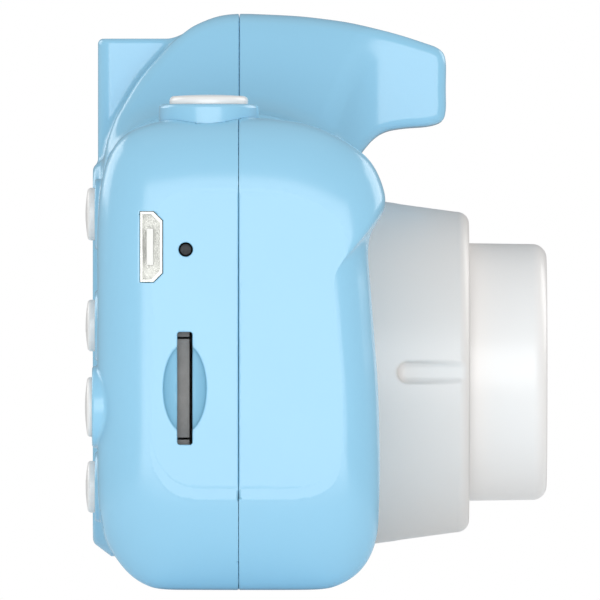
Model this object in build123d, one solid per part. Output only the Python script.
from build123d import *
import math
import os

# Children's digital camera, SLR style. Frame: origin on the base plane, under the
# optical axis, on the parting plane between the two shells. +Z up, the lens faces -Y,
# the grip with the shutter is on the -X side. Millimetres.

os.makedirs("parts", exist_ok=True)

# ---------------------------------------------------------------- driving sizes
GRIP_X, FAR_X = -48.0, 40.0         # outer side faces of the body
BLEND_X0, BLEND_X1 = -30.0, -20.6   # where the grip section turns into the body section
SIDE_CAP = 6.0                      # depth of the rounded side caps
WALL = 1.7                          # shell wall
SPLIT = 0.08                        # half of the gap at the parting line
LENS_Z = 24.3                       # optical axis height
FRONT_Y = -12.5                     # flat front of the body beside the grip
INNER_FRONT_Y = FRONT_Y + WALL      # inside of that front wall
PANEL_Y = 16.5                      # raised rear panel round the display
SIDE_MID = (0.0, 26.75)             # centre the side caps shrink to, Y and Z
SHRINK_REAR, SHRINK_FRONT, SHRINK_TOP, SHRINK_BOTTOM = 0.44, 0.30, 0.37, 0.50
LIP_INSET, GROOVE_INSET = 0.95, 0.85    # from the outer surface, at the parting line
LIP_Y, GROOVE_Y = -1.5, -1.6        # front ends of the lip and of its groove
LATE_Y = -1.65                      # front details behind this are added after the groove

SHUTTER_X, SHUTTER_Y = -38.5, 3.35  # shutter axis
COLLAR_R, COLLAR_TOP = 5.6, 54.4
COLLAR_FLANGE_R = 6.3
SHUTTER_R, SHUTTER_TOP = 4.4, 55.45
SHELF_X = (-43.0, -33.0)            # shelf and shutter board, ends in X
SHELF_Z = (43.2, 44.65)
SHELF_SCREWS = [(-41.0, -4.0), (-35.0, -4.0)]   # x, y
SHUTTER_BOARD_Z = (44.7, 45.9)

BOARD_Y0, BOARD_Y1 = 7.2, 8.4       # main board, front and rear faces
KEYS = {                            # name: x, z, cap radius, ring radius, ring top in Y
    "mode_button": (-33.0, 42.1, 2.95, 3.95, 16.15),
    "power_button": (-24.0, 42.1, 2.95, 3.95, 16.15),
    "up_button": (-31.5, 29.6, 2.9, 3.9, 16.15),
    "left_button": (-22.5, 20.5, 2.9, 3.9, 16.15),
    "ok_button": (-31.5, 20.5, 3.2, 4.1, 16.15),
    "right_button": (-40.5, 20.5, 3.35, 4.55, 16.4),
    "down_button": (-31.5, 11.5, 2.9, 3.9, 16.15),
}
KEY_TOP = 17.2
SHELL_SCREWS = [(36.3, 45.0), (36.3, 8.5), (-21.3, 48.1), (-41.0, 8.0)]   # x, z
BOARD_POSTS = [(-17.3, 43.6), (-17.3, 9.6), (34.3, 33.0), (34.3, 17.0)]   # x, z
SHELL_SCREW_SEAT_Y = 8.0

WINDOW_X, WINDOW_Z, WINDOW_W, WINDOW_H = 8.5, 26.3, 46.0, 36.0      # display window
HOLDER_W, HOLDER_H = 47.4, 38.8                                     # display holder
MODULE_W, MODULE_H = 46.0, 36.5                                     # display module
USB_Y, USB_Z = 9.75, 38.4
CARD_Y, CARD_Z, CARD_SLOT_L, CARD_SLOT_T = 6.0, 22.6, 12.6, 1.7
RESET_Y, RESET_Z = 5.9, 38.1
EYELET_X, EYELET_Z = 43.1, 38.0     # strap eyelet
SPEAKER_X, SPEAKER_Z = 27.0, 14.0
MIC_X, MIC_Z = 28.5, 40.0
EYEPIECE_Z = 56.3
FLASH_Z = 56.6
FLASH_SEAT_Y = -22.3                # flash window flange meets the hump here
FLASH_BOARD_Y = (-19.65, -18.65)
FLASH_POSTS = [(-8.3, FLASH_Z), (8.3, FLASH_Z)]     # x, z


def on_circle(centre_x, centre_y, radius, degrees):
    angle = math.radians(degrees)
    return (centre_x + radius * math.cos(angle), centre_y + radius * math.sin(angle))


RING_SCREWS = [on_circle(0, LENS_Z, 15.9, a) for a in (45, 135, 225, 315)]     # x, z
CAMERA_SCREWS = [on_circle(0, LENS_Z, 9.3, a) for a in (90, 210, 330)]         # x, z

# ---------------------------------------------------------------- side profiles (Y, Z)
# One closed loop: up the rear, over the top, down the front and back along the bottom.
REAR_AND_TOP = [
    (5.5, -0.15), (8.3, 0.0), (10.6, 0.7), (12.3, 1.9), (13.5, 3.3), (14.6, 5.1),
    (15.35, 7.4), (15.7, 10.5), (15.8, 16), (15.8, 26), (15.8, 36), (15.7, 42.5),
    (15.3, 45.9), (14.6, 48.3), (13.5, 50.3), (11.9, 51.7), (9.4, 52.8), (6.0, 53.45),
    (2.0, 53.6),
]
# the grip's top lies a little lower, so that the shutter collar stands clear of it
GRIP_REAR_AND_TOP = REAR_AND_TOP[:-5] + [
    (13.5, 50.15), (11.9, 51.4), (9.4, 52.3), (6.0, 52.8), (2.0, 52.92),
]
GRIP_FRONT = [
    (-2.0, 52.85), (-4.5, 52.65), (-8.0, 52.0), (-10.9, 50.8), (-13.3, 49.3), (-14.6, 48.1),
    (-15.45, 46.8), (-16.1, 45.2), (-16.4, 43.7), (-16.25, 42.6), (-15.75, 41.55), (-15.1, 40.5),
    (-14.65, 39.3), (-14.5, 37.8), (-14.7, 34.5), (-15.15, 28.7), (-15.55, 23.5), (-15.75, 17.7),
    (-15.8, 13.4), (-15.7, 9.1), (-15.35, 5.6), (-14.7, 3.8), (-13.6, 2.2), (-12.3, 1.15),
    (-10.7, 0.4), (-9.0, 0.0), (-7.0, -0.15),
]
BODY_FRONT = [
    (-2.0, 53.45), (-4.3, 53.0), (-7.0, 51.95), (-9.0, 50.8), (-10.6, 49.3), (-11.5, 48.0),
    (-12.1, 46.6), (-12.4, 45.0), (-12.5, 43.6), (-12.5, 42.6), (-12.5, 41.55), (-12.5, 40.5),
    (-12.5, 39.3), (-12.5, 37.8), (-12.5, 34.5), (-12.5, 28.7), (-12.5, 23.5), (-12.5, 17.7),
    (-12.5, 13.4), (-12.5, 9.1), (-12.3, 6.2), (-11.8, 4.3), (-11.0, 2.8), (-10.1, 1.7),
    (-9.1, 0.8), (-8.1, 0.2), (-7.0, -0.15),
]
BOTTOM = [(-3.0, -0.2), (1.5, -0.2)]

# ---------------------------------------------------------------- viewfinder hump outlines
HUMP_SIDE = [       # y, z
    (14.6, 50.5), (14.0, 52.7), (13.1, 54.4), (12.1, 56.1), (10.7, 58.1), (9.1, 59.9),
    (7.6, 61.5), (6.4, 62.5), (5.3, 63.3), (4.2, 63.85), (2.4, 64.5), (0, 64.8),
    (-2.4, 64.75), (-4.6, 64.65), (-6.9, 64.5), (-9.6, 64.2), (-12.3, 63.8), (-15, 63.2),
    (-17.7, 62.5), (-19.5, 61.95), (-21.3, 61.35), (-22.4, 60.9), (-23.05, 60.3), (-23.3, 59.5),
    (-23.35, 58.0), (-23.33, 55.5), (-23.28, 53.6), (-22.95, 52.75), (-22.2, 52.35),
    (-19.5, 52.0), (-17.7, 51.8), (-16.8, 51.6), (-15.9, 51.2), (-15.0, 50.5), (-14.3, 49.7),
    (-13.6, 48.8),
]
HUMP_FOOT = [(-12.4, 46.2), (0, 46.0), (14.6, 46.0)]    # y, z; straight edges
HUMP_FRONT_HALF = [     # x, z
    (18.9, 40.0), (18.6, 48.5), (17.6, 52.0), (15.6, 57.0), (13.6, 61.3), (12.3, 63.1),
    (10.6, 64.3), (8.0, 64.9), (4.0, 65.0),
]
HUMP_PLAN_HALF = [      # x, y
    (20.0, 16.0), (20.0, -3.0), (19.0, -7.5), (16.4, -11.2), (14.4, -13.6), (13.5, -15.6),
    (13.25, -18.0), (13.2, -21.6), (12.9, -22.7), (12.1, -23.25), (11.0, -23.4), (4.0, -23.45),
]


# ---------------------------------------------------------------- profile arithmetic
def mix(first, second, weight):
    return [((1 - weight) * p[0] + weight * q[0], (1 - weight) * p[1] + weight * q[1])
            for p, q in zip(first, second)]


def smooth(t):
    t = max(0.0, min(1.0, t))
    return t * t * (3 - 2 * t)


def inset(points, depth):
    """Moves a smooth closed profile inwards along its own normals."""
    moved = []
    for i, (y, z) in enumerate(points):
        before, after = points[i - 1], points[(i + 1) % len(points)]
        along_y, along_z = after[0] - before[0], after[1] - before[1]
        length = math.hypot(along_y, along_z)
        # the inside of the loop is on the left of travel
        moved.append((y - along_z / length * depth, z + along_y / length * depth))
    return moved


def distance(point, start, end):
    """From a point to the segment from start to end."""
    dx, dy = end[0] - start[0], end[1] - start[1]
    px, py = point[0] - start[0], point[1] - start[1]
    k = max(0.0, min(1.0, (px * dx + py * dy) / (dx * dx + dy * dy)))
    return math.hypot(px - k * dx, py - k * dy)


def polygon_inset(points, depth):
    """Inset of a polygon with corners: edge lines move inwards, and points nearer than
    the depth to the polygon are dropped."""
    n = len(points)
    area = sum(points[i - 1][0] * points[i][1] - points[i][0] * points[i - 1][1]
               for i in range(n))
    side = 1 if area > 0 else -1

    def normal(start, end):
        dx, dy = end[0] - start[0], end[1] - start[1]
        length = math.hypot(dx, dy)
        return (-dy / length * side, dx / length * side)

    kept = []
    for i, point in enumerate(points):
        n_in = normal(points[i - 1], point)
        n_out = normal(point, points[(i + 1) % n])
        k = depth / (1 + n_in[0] * n_out[0] + n_in[1] * n_out[1])
        moved = (point[0] + (n_in[0] + n_out[0]) * k, point[1] + (n_in[1] + n_out[1]) * k)
        if min(distance(moved, points[j - 1], points[j]) for j in range(n)) > 0.995 * depth:
            kept.append(moved)
    return kept


def dome_mid(rim_r, low, top):
    """Middle of the arc of a dome with its rim at radius rim_r and height low."""
    height = top - low
    radius = (rim_r * rim_r + height * height) / (2 * height)
    half_angle = math.asin(rim_r / radius) / 2
    return (radius * math.sin(half_angle), top - radius + radius * math.cos(half_angle))


# ---------------------------------------------------------------- small builders
def box(x0, x1, y0, y1, z0, z1):
    return Solid.make_box(x1 - x0, y1 - y0, z1 - z0, Plane((x0, y0, z0)))


def block_y(width, height, x, z, y0, y1):
    """A box centred on x and z, from y0 to y1."""
    return box(x - width / 2, x + width / 2, y0, y1, z - height / 2, z + height / 2)


def cyl_x(r, x0, x1, y, z):
    return Solid.make_cylinder(r, x1 - x0, Plane((x0, y, z), x_dir=(0, 1, 0), z_dir=(1, 0, 0)))


def cyl_y(r, y0, y1, x, z):
    return Solid.make_cylinder(r, y1 - y0, Plane((x, y0, z), x_dir=(1, 0, 0), z_dir=(0, 1, 0)))


def cyl_z(r, z0, z1, x, y):
    return Solid.make_cylinder(r, z1 - z0, Plane((x, y, z0)))


def cyls_y(r, y0, y1, places):
    return [cyl_y(r, y0, y1, x, z) for x, z in places]


def cyls_z(r, z0, z1, places):
    return [cyl_z(r, z0, z1, x, y) for x, y in places]


def rounded_face(width, height, r, x, y, z):
    """A rounded rectangle in X and Z."""
    plane = Plane((x, y, z), x_dir=(1, 0, 0), z_dir=(0, -1, 0))
    return (plane * RectangleRounded(width, height, r)).faces()[0]


def plate_y(width, height, r, x, z, y0, y1):
    """A rounded rectangle in X and Z, from y0 to y1."""
    return Solid.extrude(rounded_face(width, height, r, x, y0, z), Vector(0, y1 - y0, 0))


def plate_x(width, height, r, y, z, x0, x1):
    """A rounded rectangle, its width along Y and height along Z, from x0 to x1."""
    plane = Plane((x0, y, z), x_dir=(0, 1, 0), z_dir=(1, 0, 0))
    face = (plane * RectangleRounded(width, height, r)).faces()[0]
    return Solid.extrude(face, Vector(x1 - x0, 0, 0))


def polygon_face(points):
    return Face(Wire.make_polygon([Vector(*p) for p in points], close=True))


def prism(points, vector):
    return Solid.extrude(polygon_face(points), Vector(*vector))


def turned(points, arcs, axis):
    """Turns a closed profile of vectors. An index in arcs makes the edge from that point
    an arc through the point after it."""
    edges, n, i = [], len(points), 0
    while i < n:
        if i in arcs:
            edges.append(Edge.make_three_point_arc(points[i], points[(i + 1) % n],
                                                   points[(i + 2) % n]))
            i += 2
        else:
            edges.append(Edge.make_line(points[i], points[(i + 1) % n]))
            i += 1
    return Solid.revolve(Face(Wire(edges)), 360, axis)


def turned_y(points, x, z, arcs=()):
    """A profile of (radius, y), turned about the line along Y through x, z."""
    return Pos(x, 0, z) * turned([Vector(r, y, 0) for r, y in points], arcs, Axis.Y)


def turned_z(points, x, y, arcs=()):
    """A profile of (radius, z), turned about the line along Z through x, y."""
    return Pos(x, y, 0) * turned([Vector(r, 0, z) for r, z in points], arcs, Axis.Z)


def chamfer_rear(solid, size, rear_y):
    """Chamfers the edges of a flat rear face at rear_y."""
    return solid.chamfer(size, None, [e for e in solid.edges() if e.center().Y > rear_y - 0.01])


def upright_edges(solid):
    return [e for e in solid.edges() if abs(e.tangent_at(0.5).Z) > 0.9]


def ribbon(points, thickness, x0, x1):
    """A flat cable through (y, z) points, spanning x0 to x1."""
    left, right = [], []
    for i, (y, z) in enumerate(points):
        units = []
        for start, end in zip(points[max(i - 1, 0):i + 1], points[max(i - 1, 0) + 1:i + 2]):
            dy, dz = end[0] - start[0], end[1] - start[1]
            length = math.hypot(dy, dz)
            units.append((dy / length, dz / length))
        along_y, along_z = sum(u[0] for u in units), sum(u[1] for u in units)
        length = math.hypot(along_y, along_z)
        along_y, along_z = along_y / length, along_z / length
        k = thickness / 2 / max(0.3, along_y * units[0][0] + along_z * units[0][1])
        left.append((x0, y - along_z * k, z + along_y * k))
        right.append((x0, y + along_z * k, z - along_y * k))
    return prism(left + right[::-1], (x1 - x0, 0, 0))


def wire_pair(points, r, pitch):
    """Two round wires along the same smooth curve, the second shifted by pitch in X."""
    wires = []
    for shift in (0, pitch):
        path = Edge.make_spline([Vector(x + shift, y, z) for x, y, z in points])
        plane = Plane(path @ 0, z_dir=path % 0)
        wires.append(Solid.sweep(Face(Wire.make_circle(r, plane)), path))
    return wires


def screw_y(x, z, seat_y, head_h, head_r, shank_r, tip_y):
    """Screw along Y with a cross recess in its head, which lies beyond the seat."""
    out = 1 if tip_y < seat_y else -1       # direction from the tip to the head
    top = seat_y + out * head_h
    head = cyl_y(head_r, *sorted((seat_y, top)), x, z)
    shank = cyl_y(shank_r, *sorted((tip_y, seat_y + out * 0.01)), x, z)
    recess_y = sorted((top - out * 0.55 * head_h, top + out))
    short, long = head_r * 0.32, head_r * 1.24
    return (head + shank - block_y(short, long, x, z, *recess_y)
            - block_y(long, short, x, z, *recess_y))


def screws_y(places, *sizes):
    return [screw_y(x, z, *sizes) for x, z in places]


def usb_prism(x0, x1, half_y, half_z, bevel_z=1.0):
    """Micro-USB outline: flat towards the rear, bevelled corners towards the front."""
    rear, front, bevel = USB_Y + half_y, USB_Y - half_y, USB_Y - half_y + 1.0
    return prism([(x0, rear, USB_Z - half_z), (x0, rear, USB_Z + half_z),
                  (x0, bevel, USB_Z + half_z), (x0, front, USB_Z + half_z - bevel_z),
                  (x0, front, USB_Z - half_z + bevel_z), (x0, bevel, USB_Z - half_z)],
                 (x1 - x0, 0, 0))


def save(name, *shapes):
    solids = [s for shape in shapes for s in shape.solids()]
    out = solids[0] if len(solids) == 1 else Compound(solids)
    export_step(out, f"parts/{name}.step")


# ---------------------------------------------------------------- body form
def body_profile(weight, depth):
    """Weight 0 is the grip, 1 the body; depth is the inset from the outer surface."""
    points = (mix(GRIP_REAR_AND_TOP, REAR_AND_TOP, weight)
              + mix(GRIP_FRONT, BODY_FRONT, weight) + BOTTOM)
    return inset(points, depth) if depth else points


def shrink(points, amount):
    """The profile of a side cap, amount from 0 (full) to 1 (flat side face)."""
    mid_y, mid_z = SIDE_MID
    out = []
    for y, z in points:
        shrink_y = SHRINK_REAR if y > mid_y else SHRINK_FRONT
        shrink_z = SHRINK_TOP if z > mid_z else SHRINK_BOTTOM
        out.append((mid_y + (y - mid_y) * (1 - shrink_y * amount),
                    mid_z + (z - mid_z) * (1 - shrink_z * amount)))
    return out


def wire_at(points, x):
    return Wire([Edge.make_spline([Vector(x, y, z) for y, z in points], periodic=True)])


def body_solid(depth):
    """The body and grip form, inset by depth."""
    grip, body = body_profile(0, depth), body_profile(1, depth)
    cap = SIDE_CAP - depth
    grip_x, far_x = GRIP_X + depth + cap, FAR_X - depth - cap    # where the caps start
    grip_cap, far_cap = [], []
    for degrees in (0, 18, 35, 50, 63, 75, 84, 90):
        amount = 1 - math.cos(math.radians(degrees))
        reach = cap * math.sin(math.radians(degrees))
        grip_cap.append(wire_at(shrink(grip, amount), grip_x - reach))
        far_cap.append(wire_at(shrink(body, amount), far_x + reach))
    blend = [wire_at(body_profile(smooth(k / 6), depth), BLEND_X0 + (BLEND_X1 - BLEND_X0) * k / 6)
             for k in range(7)]
    form = Solid.make_loft(grip_cap[::-1])
    for piece in (
        Solid.extrude(Face(wire_at(grip, grip_x)), Vector(BLEND_X0 - grip_x, 0, 0)),
        Solid.make_loft(blend),
        Solid.extrude(Face(wire_at(body, BLEND_X1)), Vector(far_x - BLEND_X1, 0, 0)),
        Solid.make_loft(far_cap),
    ):
        form = form + piece
    return form


# ---------------------------------------------------------------- hump, eyepiece, panel
def mirrored_face(half_points, to_point, depth):
    """A face from a mirrored half profile; to_point maps (u, v) to a 3-D point."""
    points = half_points + [(-u, v) for u, v in half_points[::-1]]
    if depth:
        return polygon_face([to_point(u, v) for u, v in polygon_inset(points, depth)])
    loop = [Vector(*to_point(u, v)) for u, v in points]
    return Face(Wire([Edge.make_spline(loop), Edge.make_line(loop[-1], loop[0])]))


def hump_side_face(depth):
    if depth:
        return polygon_face([(-30, y, z) for y, z in polygon_inset(HUMP_SIDE + HUMP_FOOT, depth)])
    side = [Vector(-30, y, z) for y, z in HUMP_SIDE]
    foot = [side[-1]] + [Vector(-30, y, z) for y, z in HUMP_FOOT] + [side[0]]
    lines = [Edge.make_line(a, b) for a, b in zip(foot, foot[1:])]
    return Face(Wire([Edge.make_spline(side)] + lines))


def hump_solid(depth):
    """What the side, front and plan outlines of the hump have in common."""
    side = Solid.extrude(hump_side_face(depth), Vector(60, 0, 0))
    front_face = mirrored_face(HUMP_FRONT_HALF, lambda u, v: (u, -30, v), depth)
    front = Solid.extrude(front_face, Vector(0, 60, 0))
    plan_face = mirrored_face(HUMP_PLAN_HALF, lambda u, v: (u, v, 30), depth)
    plan = Solid.extrude(plan_face, Vector(0, 0, 60))
    return (side & front & plan).solids()[0]


def eyepiece_solid(depth):
    block = box(-9.5 + depth, 9.5 - depth, 4.0, 15.98 - depth, 46.0, 62.0 - depth)
    if not depth:
        block = block.fillet(1.6, [e for e in upright_edges(block) if e.center().Y > 10])
        block = block.fillet(0.6, [e for e in block.edges() if e.center().Z > 61.9])
    return block


def panel_solid():
    """Raised rear panel with sloping edges."""
    slope = 1.55

    def outline(grow, y):
        return rounded_face(51.5 + 2 * grow, 42.4 + 2 * grow, 3.0 + grow, 8.25, y, WINDOW_Z)

    top, low = outline(0, PANEL_Y), outline(slope, 14.45)
    return (Solid.make_loft([low.outer_wire(), top.outer_wire()], True)
            + Solid.extrude(outline(slope, 11.5), Vector(0, 2.96, 0)))


# ---------------------------------------------------------------- the two shells
TOWER_R = 2.6                       # towers round the shell screws
FRONT_CUT = (-14.0, -9.0)           # Y range of cutters through the front wall
REAR_END = 18.0                     # rear end of cutters through the rear wall
SPEAKER_HOLES = [on_circle(SPEAKER_X, SPEAKER_Z, radius, a)
                 for radius, step in ((0, 360), (2.3, 60), (4.6, 30)) for a in range(0, 360, step)]


def slice_y(shape, y0, y1):
    return shape & box(-80, 80, y0, y1, -5, 90)


def outer_form(outer_body):
    rings = [chamfer_rear(cyl_y(ring_r, 13.5, ring_y, x, z), 0.3, ring_y)
             for x, z, _, ring_r, ring_y in KEYS.values()]
    outer = outer_body.fuse(hump_solid(0), eyepiece_solid(0), panel_solid(),
                            cyl_y(19.7, FRONT_Y, FRONT_Y + 2.5, 0, LENS_Z), *rings)
    return outer & box(-80, 80, -60, 60, 0, 90)     # flat base


def shared_cutters():
    """Shutter collar hole, the pocket for its flange, and the strap eyelet slot."""
    return [cyl_z(COLLAR_R + 0.06, 50.0, 58.0, SHUTTER_X, SHUTTER_Y),
            cyl_z(COLLAR_FLANGE_R + 0.1, 47.8, 50.9, SHUTTER_X, SHUTTER_Y),
            box(36.0, 42.0, -1.6, 1.6, EYELET_Z - 2.6, EYELET_Z + 2.6)]


def rear_cutters():
    cutters = []
    for x, z in SHELL_SCREWS:
        cutters += [cyl_y(2.1, SHELL_SCREW_SEAT_Y, 20.0, x, z), cyl_y(1.15, 4.0, 8.5, x, z)]
    cutters += cyls_y(0.85, 8.0, 13.0, BOARD_POSTS)
    # display window seat, view opening, and pocket for the display and its holder
    cutters += [
        plate_y(WINDOW_W + 0.2, WINDOW_H + 0.2, 3.1, WINDOW_X, WINDOW_Z, 15.45, REAR_END),
        plate_y(WINDOW_W - 4, WINDOW_H - 4, 1.5, WINDOW_X, WINDOW_Z, 10.0, REAR_END),
        block_y(HOLDER_W + 0.4, HOLDER_H + 0.4, WINDOW_X, WINDOW_Z, 8.0, 14.1),
    ]
    # keys: a hole with a pocket in front of it for the flange
    for x, z, cap_r, _, _ in KEYS.values():
        cutters += [cyl_y(cap_r + 0.12, 10.0, REAR_END, x, z),
                    cyl_y(cap_r + 1.05, 11.0, 14.1, x, z)]
    # eyepiece window seat and the camera opening
    cutters += [plate_y(14.1, 8.6, 1.6, 0, EYEPIECE_Z, 14.95, REAR_END),
                cyl_y(3.4, 12.0, REAR_END, 0, EYEPIECE_Z)]
    # charging port, reset hole, card slot and finger dish in the grip side
    dish = scale(Sphere(1.0), (1.3, 2.41, 4.9)).solids()[0]
    cutters += [usb_prism(-49, -45, 1.3, 3.98, bevel_z=1.03),
                cyl_x(0.8, -50, -45, RESET_Y, RESET_Z),
                plate_x(CARD_SLOT_T, CARD_SLOT_L, 0.5, CARD_Y, CARD_Z, -50, -45),
                Pos(GRIP_X, CARD_Y, CARD_Z) * dish]
    return cutters + shared_cutters()


def front_cutters():
    cutters = cyls_y(1.0, -5.0, 6.0, SHELL_SCREWS) + shared_cutters()
    # front wall: lens screws, flat cable, speaker, microphone
    cutters += cyls_y(0.95, *FRONT_CUT, RING_SCREWS + CAMERA_SCREWS)
    cutters.append(plate_y(9.0, 2.0, 0.9, 0, 13.2, *FRONT_CUT))
    cutters += cyls_y(0.6, *FRONT_CUT, SPEAKER_HOLES + [(MIC_X, MIC_Z)])
    # flash window opening with its inner seat, and the screw holes of the flash board
    cutters += [plate_y(12.0, 3.6, 1.0, 0, FLASH_Z, -26.0, -20.0),
                plate_y(13.7, 4.7, 1.2, 0, FLASH_Z, FLASH_SEAT_Y, -20.0)]
    cutters += cyls_y(0.65, -22.0, -18.0, FLASH_POSTS)
    return cutters + cyls_z(0.65, 41.0, 45.0, SHELF_SCREWS)


def fused(shape, additions, *first):
    return shape.fuse(*first, *[s for a in additions for s in a.solids()])


def rear_shell(shell, outer_body, inner):
    # the lip stands inside the front shell, in front of the parting line
    lip = slice_y(body_solid(LIP_INSET).fuse(hump_solid(LIP_INSET)) - inner, LIP_Y, SPLIT + 0.02)
    additions = [outer_body & Compound(cyls_y(TOWER_R, 5.0, 16.0, SHELL_SCREWS))]
    additions += cyls_y(1.8, BOARD_Y1 + 0.05, 14.6, BOARD_POSTS)
    return fused(slice_y(shell, SPLIT, 60), additions, lip).cut(*rear_cutters())


def front_shell(shell, outer_body):
    groove = slice_y(body_solid(GROOVE_INSET).fuse(hump_solid(GROOVE_INSET)), GROOVE_Y, 0)
    # screw towers, flash board posts, and the shelf for the shutter board
    early = [outer_body & Compound(cyls_y(TOWER_R, -16.0, LATE_Y, SHELL_SCREWS))]
    early += cyls_y(1.3, -22.6, FLASH_BOARD_Y[0], FLASH_POSTS)
    early.append(outer_body & box(*SHELF_X, -16.0, LATE_Y, *SHELF_Z))
    early += cyls_z(1.7, 41.7, 43.3, SHELF_SCREWS)
    # the towers and the shelf go on past the groove, clear of the rear shell
    late = [body_solid(WALL + 0.1) & Compound(cyls_y(TOWER_R, LATE_Y - 0.01, 4.9, SHELL_SCREWS)),
            box(*SHELF_X, LATE_Y - 0.01, -0.3, *SHELF_Z)]
    front = fused(slice_y(shell, -60, -SPLIT), early).cut(groove)
    return fused(front, late).cut(*front_cutters())


def shells():
    outer_body = body_solid(0)
    eyepiece_hollow = eyepiece_solid(WALL) & box(-20, 20, 4.0, 20, 47.5, 90)
    inner = body_solid(WALL).fuse(hump_solid(WALL), eyepiece_hollow)
    shell = outer_form(outer_body) - inner
    rear = rear_shell(shell, outer_body, inner)
    front = front_shell(shell, outer_body)
    save("front_shell", max(front.solids(), key=lambda s: s.volume))
    save("rear_shell", max(rear.solids(), key=lambda s: s.volume))


# ---------------------------------------------------------------- lens
RING_BACK_Y = FRONT_Y - 0.02        # rear of the ring, just clear of the body
TUBE_BACK_Y = -26.03
SENSOR_Y = (-19.45, -18.45)         # sensor board


def lens_base_ring():
    ring = turned_y([
        (19.83, RING_BACK_Y), (19.3, -16.48), (18.2, -24.6),
        on_circle(16.8, -24.6, 1.4, -45), (16.8, -26.0),
        (12.6, -26.0), (12.6, -24.2), (16.3, -24.2), (17.5, -16.48), (18.03, RING_BACK_Y),
    ], 0, LENS_Z, arcs=(2,))
    ring = ring.fuse(*cyls_y(2.0, -18.0, RING_BACK_Y, RING_SCREWS))
    cutters = cyls_y(0.78, -17.2, -12.0, RING_SCREWS)
    # four finger grooves with round ends, their floors parallel to the axis
    groove_r, floor, outside = 1.135, 18.0, 24
    end_y = -17.9 - groove_r
    for angle in (0, 90, 180, 270):
        groove = (box(floor, outside, -30, end_y, -groove_r, groove_r)
                  + cyl_x(groove_r, floor, outside, end_y, 0))
        cutters += (Pos(0, 0, LENS_Z) * Rot(0, angle, 0) * groove).solids()
    return ring.cut(*cutters)


def lens_tube():
    return turned_y([
        (14.6, TUBE_BACK_Y), (14.5, -33.2), on_circle(12.9, -33.2, 1.6, -45), (12.9, -34.8),
        (11.4, -34.8), (10.9, -34.3), (10.9, -33.4), (11.9, -33.4), (11.9, -23.6),
        (12.5, -23.6), (12.5, TUBE_BACK_Y),
    ], 0, LENS_Z, arcs=(1,))


def lens_inner_cone():
    """Stepped cone, narrowing towards the rear."""
    return turned_y([
        (11.8, -25.0), (11.8, -32.3), (10.9, -32.3), (10.9, -31.6), (9.9, -31.4), (9.9, -30.7),
        (8.8, -30.5), (8.8, -29.8), (7.7, -29.6), (7.7, -28.9), (6.6, -28.7), (6.6, -28.0),
        (5.5, -27.8), (5.5, -27.1), (4.6, -26.9), (4.6, -25.0),
    ], 0, LENS_Z)


def camera_lens_barrel():
    barrel = turned_y([(4.0, -22.5), (4.0, -27.7), (3.6, -28.2), (2.9, -28.2), (2.3, -27.3),
                       (2.3, -22.5)], 0, LENS_Z)
    return barrel + plate_y(11.0, 11.0, 1.0, 0, LENS_Z, -22.5, SENSOR_Y[0])


def camera_lens_glass():
    return turned_y([(0, -25.0), (0, -27.75), (1.2, -27.6), (2.28, -27.0), (2.28, -25.0)],
                    0, LENS_Z, arcs=(1,))


def camera_bracket():
    plate = (cyl_y(11.5, SENSOR_Y[1], -16.95, 0, LENS_Z)
             - plate_y(9.0, 8.0, 1.0, 0, 14.9, -19.0, -16.0))
    legs = cyls_y(1.8, -16.96, FRONT_Y - 0.04, CAMERA_SCREWS)
    return plate.fuse(*legs).cut(*cyls_y(0.72, -18.0, -12.0, CAMERA_SCREWS))


def lens_parts():
    save("lens_base_ring", lens_base_ring())
    save("lens_tube", lens_tube())
    save("lens_window", cyl_y(11.8, -33.4, -32.35, 0, LENS_Z))
    save("lens_inner_cone", lens_inner_cone())
    save("camera_lens_barrel", camera_lens_barrel())
    save("camera_lens_glass", camera_lens_glass())
    save("camera_sensor_board", plate_y(14.0, 14.0, 0.8, 0, LENS_Z, *SENSOR_Y))
    save("camera_bracket", camera_bracket())
    save("camera_flex", ribbon([
        (-18.35, 18.7), (-18.35, 16.4), (-16.0, 13.3), (-13.0, 13.2), (-9.0, 13.2),
        (3.0, 14.5), (6.95, 17.0), (7.1, 21.0)], 0.14, -3.5, 3.5))
    save("lens_ring_screws", *screws_y(RING_SCREWS, INNER_FRONT_Y, 1.1, 1.6, 0.76, -16.8))
    save("camera_bracket_screws", *screws_y(CAMERA_SCREWS, INNER_FRONT_Y, 1.1, 1.6, 0.7, -16.4))


# ---------------------------------------------------------------- shutter
def shutter_collar():
    collar = cyl_z(COLLAR_R, 50.0, COLLAR_TOP, SHUTTER_X, SHUTTER_Y)
    collar = collar.fillet(0.45, [e for e in collar.edges() if e.center().Z > COLLAR_TOP - 0.01])
    return collar.fuse(cyl_z(COLLAR_FLANGE_R, 50.0, 50.8, SHUTTER_X, SHUTTER_Y)).cut(
        cyl_z(SHUTTER_R + 0.12, 49.0, 56.0, SHUTTER_X, SHUTTER_Y),
        cyl_z(5.1, 49.0, 51.7, SHUTTER_X, SHUTTER_Y))


def shutter_cap():
    """Stem, flange and slightly domed top."""
    rim_r, rim_z = SHUTTER_R - 0.5, 55.3
    return turned_z([
        (0, 47.9), (1.7, 47.9), (1.7, 50.9), (5.0, 50.9), (5.0, 51.6), (SHUTTER_R, 51.6),
        (SHUTTER_R, 54.75), (SHUTTER_R - 0.15, 55.13), (rim_r, rim_z),
        dome_mid(rim_r, rim_z, SHUTTER_TOP), (0, SHUTTER_TOP),
    ], SHUTTER_X, SHUTTER_Y, arcs=(6, 8))


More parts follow.
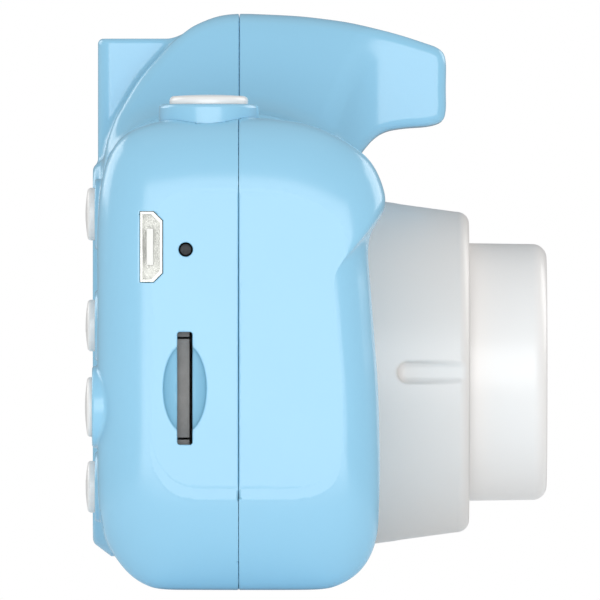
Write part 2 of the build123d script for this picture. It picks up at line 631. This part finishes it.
def shutter_switch():
    x, y, base = SHUTTER_X, SHUTTER_Y, SHUTTER_BOARD_Z[1]
    switch = box(x - 3, x + 3, y - 3, y + 3, base, 49.4) - cyl_z(1.8, 47.2, 50.0, x, y)
    legs = []
    for leg_x in (x - 3.3, x + 3.3):
        for leg_y in (y - 2.2, y + 2.2):
            legs.append(box(leg_x - 0.3, leg_x + 0.3, leg_y - 0.4, leg_y + 0.4, base, base + 1))
    return switch.fuse(*legs)


def shutter_board_screw(x, y):
    seat = SHUTTER_BOARD_Z[1]
    screw = cyl_z(1.45, seat, seat + 1, x, y) + cyl_z(0.62, 42.0, seat + 0.01, x, y)
    for half_x, half_y in ((0.9, 0.2), (0.2, 0.9)):     # cross recess
        screw = screw - box(x - half_x, x + half_x, y - half_y, y + half_y, seat + 0.5, 48)
    return screw


def shutter_parts():
    save("shutter_collar", shutter_collar())
    save("shutter_cap", shutter_cap())
    save("shutter_switch", shutter_switch())
    board = box(*SHELF_X, -6.0, 6.75, *SHUTTER_BOARD_Z)
    save("shutter_board", board.cut(*cyls_z(0.9, 44.0, 47.0, SHELF_SCREWS)))
    save("shutter_board_screws", *[shutter_board_screw(x, y) for x, y in SHELF_SCREWS])
    save("shutter_wires", *wire_pair([
        (-34.4, 5.6, 44.55), (-34.0, 5.7, 43.5), (-33.0, 6.2, 42.0), (-32.4, 6.65, 40.0),
        (-32.3, 6.75, 38.0)], 0.38, 1.1))


# ---------------------------------------------------------------- rear keys
def key_cap(x, z, r):
    """Stem, flange and domed cap."""
    edge_y = KEY_TOP - 0.62
    flange_r, rim_r, rim_y = r + 0.9, r - 0.42, edge_y + 0.4
    return turned_y([
        (0, 10.4), (1.7, 10.4), (1.7, 13.35), (flange_r, 13.35), (flange_r, 14.0), (r, 14.0),
        (r, edge_y), (r - 0.12, edge_y + 0.28), (rim_r, rim_y),
        dome_mid(rim_r, rim_y, KEY_TOP), (0, KEY_TOP),
    ], x, z, arcs=(6, 8))


def key_switch(x, z):
    body = block_y(6, 6, x, z, BOARD_Y1 + 0.05, 11.9) - cyl_y(1.8, 9.8, 13.0, x, z)
    legs = [block_y(0.5, 0.7, x + dx, z + dz, BOARD_Y1, 9.3)
            for dx in (-3.25, 3.25) for dz in (-2.2, 2.2)]
    return body.fuse(*legs)


def key_parts():
    for name, (x, z, cap_r, _, _) in KEYS.items():
        save(name, key_cap(x, z, cap_r))
    save("key_switches", *[key_switch(key[0], key[1]) for key in KEYS.values()])


# ---------------------------------------------------------------- boards and connectors
def main_board():
    x0, x1, z0, z1 = -45.6, 36.0, 6.5, 46.5
    grip_corner, far_corner = 7.0, 2
    outline = [(x0 + grip_corner, z0), (x1 - far_corner, z0), (x1, z0 + far_corner),
               (x1, z1 - far_corner), (x1 - far_corner, z1), (x0 + grip_corner, z1),
               (x0, z1 - grip_corner), (x0, z0 + grip_corner)]
    board = prism([(x, BOARD_Y0, z) for x, z in outline], (0, BOARD_Y1 - BOARD_Y0, 0))
    return board.cut(*cyls_y(3.0, 7.0, 9.0, SHELL_SCREWS), *cyls_y(1.0, 7.0, 9.0, BOARD_POSTS))


def main_chip():
    chip = box(-22.0, -10.0, 6.0, BOARD_Y0, 24.0, 36.0)
    return chip.chamfer(0.2, None, [e for e in chip.edges() if e.center().Y < 6.01])


def usb_port_shell():
    half_y, half_z, metal = 1.22, 3.91, 0.24
    return (usb_prism(-47.55, -42.25, half_y, half_z)
            - usb_prism(-48, -42.6, half_y - metal, half_z - metal))


def usb_port_tongue():
    return block_y(4.5, 4.05, -44.85, USB_Z, USB_Y + 0.15 - 0.36, USB_Y + 0.15 + 0.36)


def card_socket():
    """A metal box, open at the outer end, with a three-piece slider inside."""
    socket = (box(-46.2, -31.5, 4.9, 7.15, 15.1, 30.1)
              - box(-47.0, -32.2, 5.12, 6.95, 16.2, 29.0))
    return socket.fuse(box(-45.9, -45.2, 5.5, 7.0, 17.1, 28.1),
                       box(-45.8, -45.2, 5.5, 7.0, 15.9, 16.85),
                       box(-45.8, -45.2, 5.5, 7.0, 28.35, 29.3))


def board_parts():
    save("main_board", main_board())
    save("main_board_screws", *screws_y(BOARD_POSTS, BOARD_Y0, 1.1, 1.6, 0.8, 12.6))
    save("main_chip", main_chip())
    save("usb_port_shell", usb_port_shell())
    save("usb_port_tongue", usb_port_tongue())
    save("card_socket", card_socket())
    save("reset_switch", box(-44.5, -41.5, 4.4, 7.18, 36.5, 39.7)
         - cyl_x(0.75, -46, -43.4, RESET_Y, RESET_Z))
    save("reset_plunger", cyl_x(0.6, -46.1, -43.7, RESET_Y, RESET_Z))


# ---------------------------------------------------------------- display
def display_holder():
    """Tray with a seat for the module and an opening through its floor."""
    return (block_y(HOLDER_W, HOLDER_H, WINDOW_X, WINDOW_Z, BOARD_Y1 + 0.05, 13.0)
            - block_y(MODULE_W + 0.2, MODULE_H + 0.2, WINDOW_X, WINDOW_Z, 11.55, 13.1)
            - box(-11.0, 28.0, 8.0, 14.0, 12.0, 40.0))


def display_parts():
    save("display_module", plate_y(MODULE_W, MODULE_H, 0.8, WINDOW_X, WINDOW_Z, 11.6, 14.05))
    save("display_holder", display_holder())
    window = plate_y(WINDOW_W, WINDOW_H, 3.0, WINDOW_X, WINDOW_Z, 15.47, 16.47)
    save("display_window", chamfer_rear(window, 0.15, 16.47))
    save("display_flex", ribbon([(11.5, 26.0), (10.6, 25.0), (9.2, 23.0), (8.5, 21.0),
                                 (8.5, 17.0)], 0.14, 2.0, 16.0))


# ---------------------------------------------------------------- sound
def sound_parts():
    gasket_y = INNER_FRONT_Y + 0.05
    speaker_y = -10.35
    save("speaker", turned_y([(0, -6.9), (0, speaker_y), (7.5, speaker_y), (7.5, -9.3),
                              (6.2, -8.9), (5.4, -6.9)], SPEAKER_X, SPEAKER_Z))
    save("speaker_gasket", cyl_y(6.2, gasket_y, speaker_y, SPEAKER_X, SPEAKER_Z)
         - cyl_y(5.4, -11, -10, SPEAKER_X, SPEAKER_Z))
    save("microphone", cyl_y(2.0, gasket_y, gasket_y + 1.5, MIC_X, MIC_Z))
    speaker_wires = wire_pair([
        (29.5, -6.6, 14.0), (30.6, -4.6, 14.1), (33.2, 0.0, 14.3), (33.2, 5.0, 14.3),
        (33.0, 7.15, 14.3)], 0.38, 1.1)
    mic_wires = wire_pair([
        (MIC_X - 0.4, -9.05, MIC_Z + 0.6), (MIC_X + 0.8, -7.2, MIC_Z + 0.8),
        (MIC_X + 3.6, -2.0, MIC_Z + 1.0), (MIC_X + 3.7, 4.0, MIC_Z + 1.0),
        (MIC_X + 3.6, 7.15, MIC_Z + 0.9)], 0.3, 0.9)
    save("sound_wires", *speaker_wires, *mic_wires)


# ---------------------------------------------------------------- battery
def battery_parts():
    rear_y = 6.9
    cell = box(6.0, 30.0, 1.7, rear_y, 6.0, 46.0)
    save("battery", cell.fillet(1.0, upright_edges(cell)))
    save("battery_tape", box(8.0, 28.0, rear_y, BOARD_Y0, 10.0, 42.0))
    save("battery_wires", *wire_pair([
        (10.0, 4.3, 46.0), (9.6, 4.4, 47.1), (6.6, 5.2, 47.4), (3.9, 6.4, 45.8),
        (3.2, 6.78, 43.6)], 0.4, 1.2))


# ---------------------------------------------------------------- flash, front of the hump
def flash_window():
    front_plate = plate_y(11.9, 3.5, 0.95, 0, FLASH_Z, -23.3, FLASH_SEAT_Y)
    flange = plate_y(13.5, 4.5, 1.1, 0, FLASH_Z, FLASH_SEAT_Y, -21.7)
    ribs = [block_y(0.28, 3.0, -5.2 + 0.8 * i, FLASH_Z, -21.71, -21.45) for i in range(14)]
    return front_plate.fuse(flange, *ribs)


def flash_parts():
    board_front, board_rear = FLASH_BOARD_Y
    save("flash_window", flash_window())
    save("flash_board", block_y(19.2, 4.4, 0, FLASH_Z, *FLASH_BOARD_Y).cut(
        *cyls_y(0.8, -20, -18, FLASH_POSTS)))
    save("flash_led", plate_y(3.4, 3.0, 0.3, 0, FLASH_Z, board_front - 1.1, board_front))
    save("flash_board_screws", *screws_y(FLASH_POSTS, board_rear, 0.8, 1.2, 0.6, -21.7))
    save("flash_wires", *wire_pair([
        (3.0, -18.55, FLASH_Z - 1.2), (3.0, -16.5, FLASH_Z - 1.5), (3.2, -10.5, 53.6),
        (3.6, -4.0, 50.5), (4.0, 3.5, 48.8), (4.4, 7.0, 47.9), (4.6, 7.8, 46.72)], 0.38, 1.1))


# ---------------------------------------------------------------- eyepiece, second camera
def rear_camera_module():
    barrel = turned_y([(0, 11.5), (2.9, 11.5), (2.9, 14.6), (2.5, 14.85), (1.9, 14.85),
                       (1.5, 14.3), (0, 14.3)], 0, EYEPIECE_Z)
    return barrel.fuse(block_y(7.8, 7.8, 0, EYEPIECE_Z, 9.2, 11.51))


def rear_camera_bracket():
    plate = box(-7.5, 7.5, 8.2, 9.2, EYEPIECE_Z - 4.5, EYEPIECE_Z + 3.8)
    return plate.fuse(*[block_y(3.2, 7.0, x, EYEPIECE_Z, 9.19, 14.2) for x in (-5.9, 5.9)])


def eyepiece_parts():
    window = plate_y(14.0, 8.5, 1.5, 0, EYEPIECE_Z, 14.97, 15.92)
    save("eyepiece_window", chamfer_rear(window, 0.12, 15.92))
    save("rear_camera_module", rear_camera_module())
    save("rear_camera_bracket", rear_camera_bracket())
    save("rear_camera_flex", ribbon([
        (8.12, EYEPIECE_Z - 2.0), (8.12, 50.0), (7.4, 48.2), (6.95, 46.9), (6.95, 45.5),
        (7.1, 42.0)], 0.14, -4.0, 1.5))


# ---------------------------------------------------------------- fittings
def strap_eyelet():
    """Eyelet on a root with a flange, caught between the shells."""
    root = box(38.2, 41.5, -1.5, 1.5, EYELET_Z - 2.5, EYELET_Z + 2.5)
    eyelet = cyl_y(3.1, -1.5, 1.5, EYELET_X, EYELET_Z)
    flange = box(36.7, 38.2, -2.6, 2.6, EYELET_Z - 3.7, EYELET_Z + 3.7)
    return root.fuse(eyelet, flange).cut(cyl_y(1.55, -3, 3, EYELET_X, EYELET_Z))


shells()
lens_parts()
shutter_parts()
key_parts()
board_parts()
display_parts()
sound_parts()
battery_parts()
flash_parts()
eyepiece_parts()
save("strap_eyelet", strap_eyelet())
save("shell_screws", *screws_y(SHELL_SCREWS, SHELL_SCREW_SEAT_Y, 1.4, 1.9, 0.95, -3.5))
